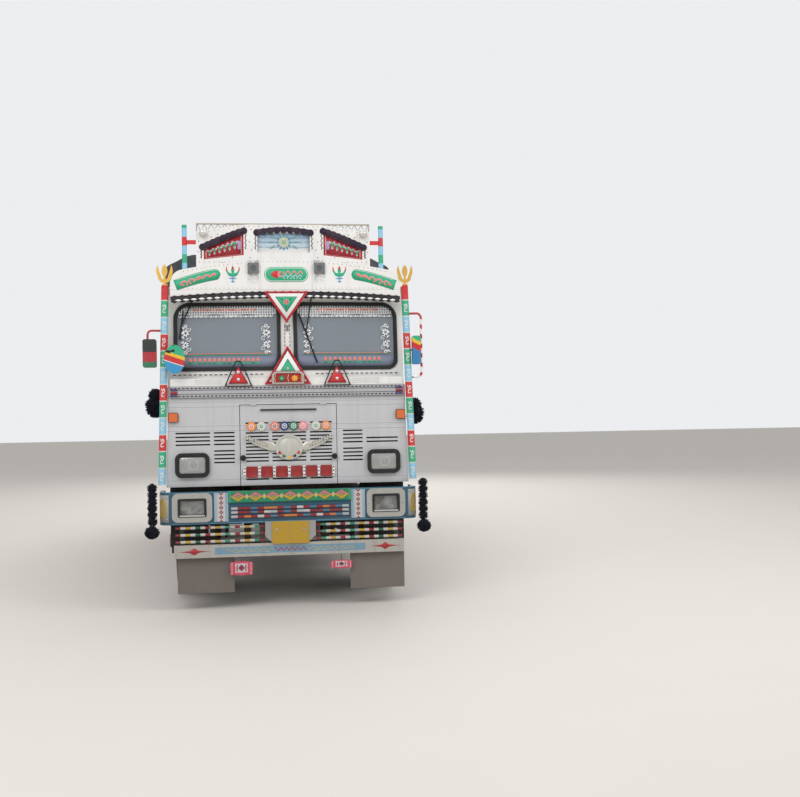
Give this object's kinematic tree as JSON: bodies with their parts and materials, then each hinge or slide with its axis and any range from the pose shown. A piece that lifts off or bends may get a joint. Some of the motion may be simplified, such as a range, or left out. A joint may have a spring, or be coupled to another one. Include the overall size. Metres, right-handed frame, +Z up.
{
  "type": "decorated goods truck",
  "caption": "Two-axle goods truck with a coach-built cab, painted and hung with ornaments, and a tall covered load body with opening gates.",
  "frame": {"origin": "ground level under the middle of the truck's overall box", "axes": "+Z up, +Y from the front to the tail, +X to the right of a front view, which is the mate's side"},
  "size_m": [2.66, 8.35, 3.682],
  "materials": {
    "white_paint": "satin",
    "grey_paint": "satin",
    "blue_paint": "gloss",
    "red_paint": "gloss",
    "chassis_black": "matte",
    "iron": "matte",
    "spring_steel": "matte",
    "wheel_paint": "satin",
    "tyre": "matte",
    "rubber": "matte",
    "glass": "gloss",
    "lamp_glass": "gloss",
    "bright_trim": "satin",
    "seat_cloth": "matte",
    "dash_plastic": "matte",
    "deck_wood": "matte",
    "canvas": "matte",
    "yarn": "matte",
    "tag_cloth": "matte"
  },
  "bodies": {
    "truck": {"bumper_trim": "bright_trim", "cab_floor": "white_paint", "cab_glass": "glass", "cab_rear_wall": "white_paint", "cab_roof": "white_paint", "cab_side_left": "white_paint", "cab_side_right": "white_paint", "chassis_frame": "chassis_black", "cloth_tags": "tag_cloth", "corner_poles": "blue_paint", "dashboard": "dash_plastic", "engine_block": "iron", "forehead": "white_paint", "front_axle_beam": "iron", "front_bumper": "blue_paint", "front_lamps": "lamp_glass", "front_panel": "grey_paint", "headboard": "blue_paint", "leaf_springs": "spring_steel", "load_floor": "deck_wood", "load_wall_left": "blue_paint", "load_wall_right": "blue_paint", "rear_axle": "iron", "rear_bumper": "chassis_black", "roof_bows": "spring_steel", "screen_frame": "white_paint", "screen_seals": "rubber", "seat_cushions": "seat_cloth", "side_guards": "red_paint", "side_mirrors": "red_paint", "sign_board": "white_paint", "steps_and_mudguards": "chassis_black", "tarpaulin": "canvas", "tassels": "yarn", "towing_plate": "chassis_black", "under_tanks": "chassis_black", "valance": "white_paint", "warning_triangles": "red_paint"},
    "front_knuckle_left": {"knuckle_left": "iron"},
    "front_knuckle_right": {"knuckle_right": "iron"},
    "tie_rod_body": {"tie_rod": "iron"},
    "front_wheel_left_body": {"front_tyre_left": "tyre", "front_wheel_left": "wheel_paint"},
    "front_wheel_right_body": {"front_tyre_right": "tyre", "front_wheel_right": "wheel_paint"},
    "rear_wheels_left_body": {"rear_tyres_left": "tyre", "rear_wheels_left": "wheel_paint"},
    "rear_wheels_right_body": {"rear_tyres_right": "tyre", "rear_wheels_right": "wheel_paint"},
    "hood_flap_body": {"hood_flap": "grey_paint", "flap_fittings": "bright_trim"},
    "door_left_body": {"door_left": "white_paint", "door_glass_left": "glass"},
    "door_right_body": {"door_right": "white_paint", "door_glass_right": "glass"},
    "tailgate_body": {"tailgate": "blue_paint"},
    "rear_leaf_left_body": {"rear_leaf_left": "blue_paint"},
    "rear_leaf_right_body": {"rear_leaf_right": "blue_paint"}
  },
  "joints": [
    {"name": "steer_left", "type": "hinge", "parent": "truck", "child": "front_knuckle_left", "pos_m": [-0.865, -2.875, 0.525], "axis": [0, 0, 1], "range_deg": [-35, 35]},
    {"name": "steer_right", "type": "hinge", "parent": "truck", "child": "front_knuckle_right", "pos_m": [0.865, -2.875, 0.525], "axis": [0, 0, 1], "range_deg": [-35, 35]},
    {"name": "tie_rod_turn", "type": "hinge", "parent": "front_knuckle_left", "child": "tie_rod_body", "pos_m": [-0.865, -2.695, 0.418], "axis": [0, 0, 1], "range_deg": [-35, 35]},
    {"name": "front_wheel_left_spin", "type": "hinge", "parent": "front_knuckle_left", "child": "front_wheel_left_body", "pos_m": [-0.965, -2.875, 0.525], "axis": [1, 0, 0], "continuous": true},
    {"name": "front_wheel_right_spin", "type": "hinge", "parent": "front_knuckle_right", "child": "front_wheel_right_body", "pos_m": [0.965, -2.875, 0.525], "axis": [1, 0, 0], "continuous": true},
    {"name": "rear_wheels_left_spin", "type": "hinge", "parent": "truck", "child": "rear_wheels_left_body", "pos_m": [-0.93, 1.955, 0.525], "axis": [1, 0, 0], "continuous": true},
    {"name": "rear_wheels_right_spin", "type": "hinge", "parent": "truck", "child": "rear_wheels_right_body", "pos_m": [0.93, 1.955, 0.525], "axis": [1, 0, 0], "continuous": true},
    {"name": "hood_flap_hinge", "type": "hinge", "parent": "truck", "child": "hood_flap_body", "pos_m": [0, -4.051, 1.9], "axis": [-1, 0, 0], "range_deg": [0, 70]},
    {"name": "door_left_hinge", "type": "hinge", "parent": "truck", "child": "door_left_body", "pos_m": [-1.129, -3.745, 2], "axis": [0, 0, 1], "range_deg": [0, 70]},
    {"name": "door_right_hinge", "type": "hinge", "parent": "truck", "child": "door_right_body", "pos_m": [1.129, -3.745, 2], "axis": [0, 0, -1], "range_deg": [0, 70]},
    {"name": "tailgate_hinge", "type": "hinge", "parent": "truck", "child": "tailgate_body", "pos_m": [0, 4.155, 1.225], "axis": [-1, 0, 0], "range_deg": [0, 90]},
    {"name": "rear_leaf_left_hinge", "type": "hinge", "parent": "truck", "child": "rear_leaf_left_body", "pos_m": [-1.226, 4.155, 2.7], "axis": [0, 0, 1], "range_deg": [0, 110]},
    {"name": "rear_leaf_right_hinge", "type": "hinge", "parent": "truck", "child": "rear_leaf_right_body", "pos_m": [1.226, 4.155, 2.7], "axis": [0, 0, -1], "range_deg": [0, 110]}
  ],
  "couplings": [
    {"joint": "steer_right", "follows": "steer_left", "ratio": 1},
    {"joint": "tie_rod_turn", "follows": "steer_left", "ratio": -1}
  ]
}
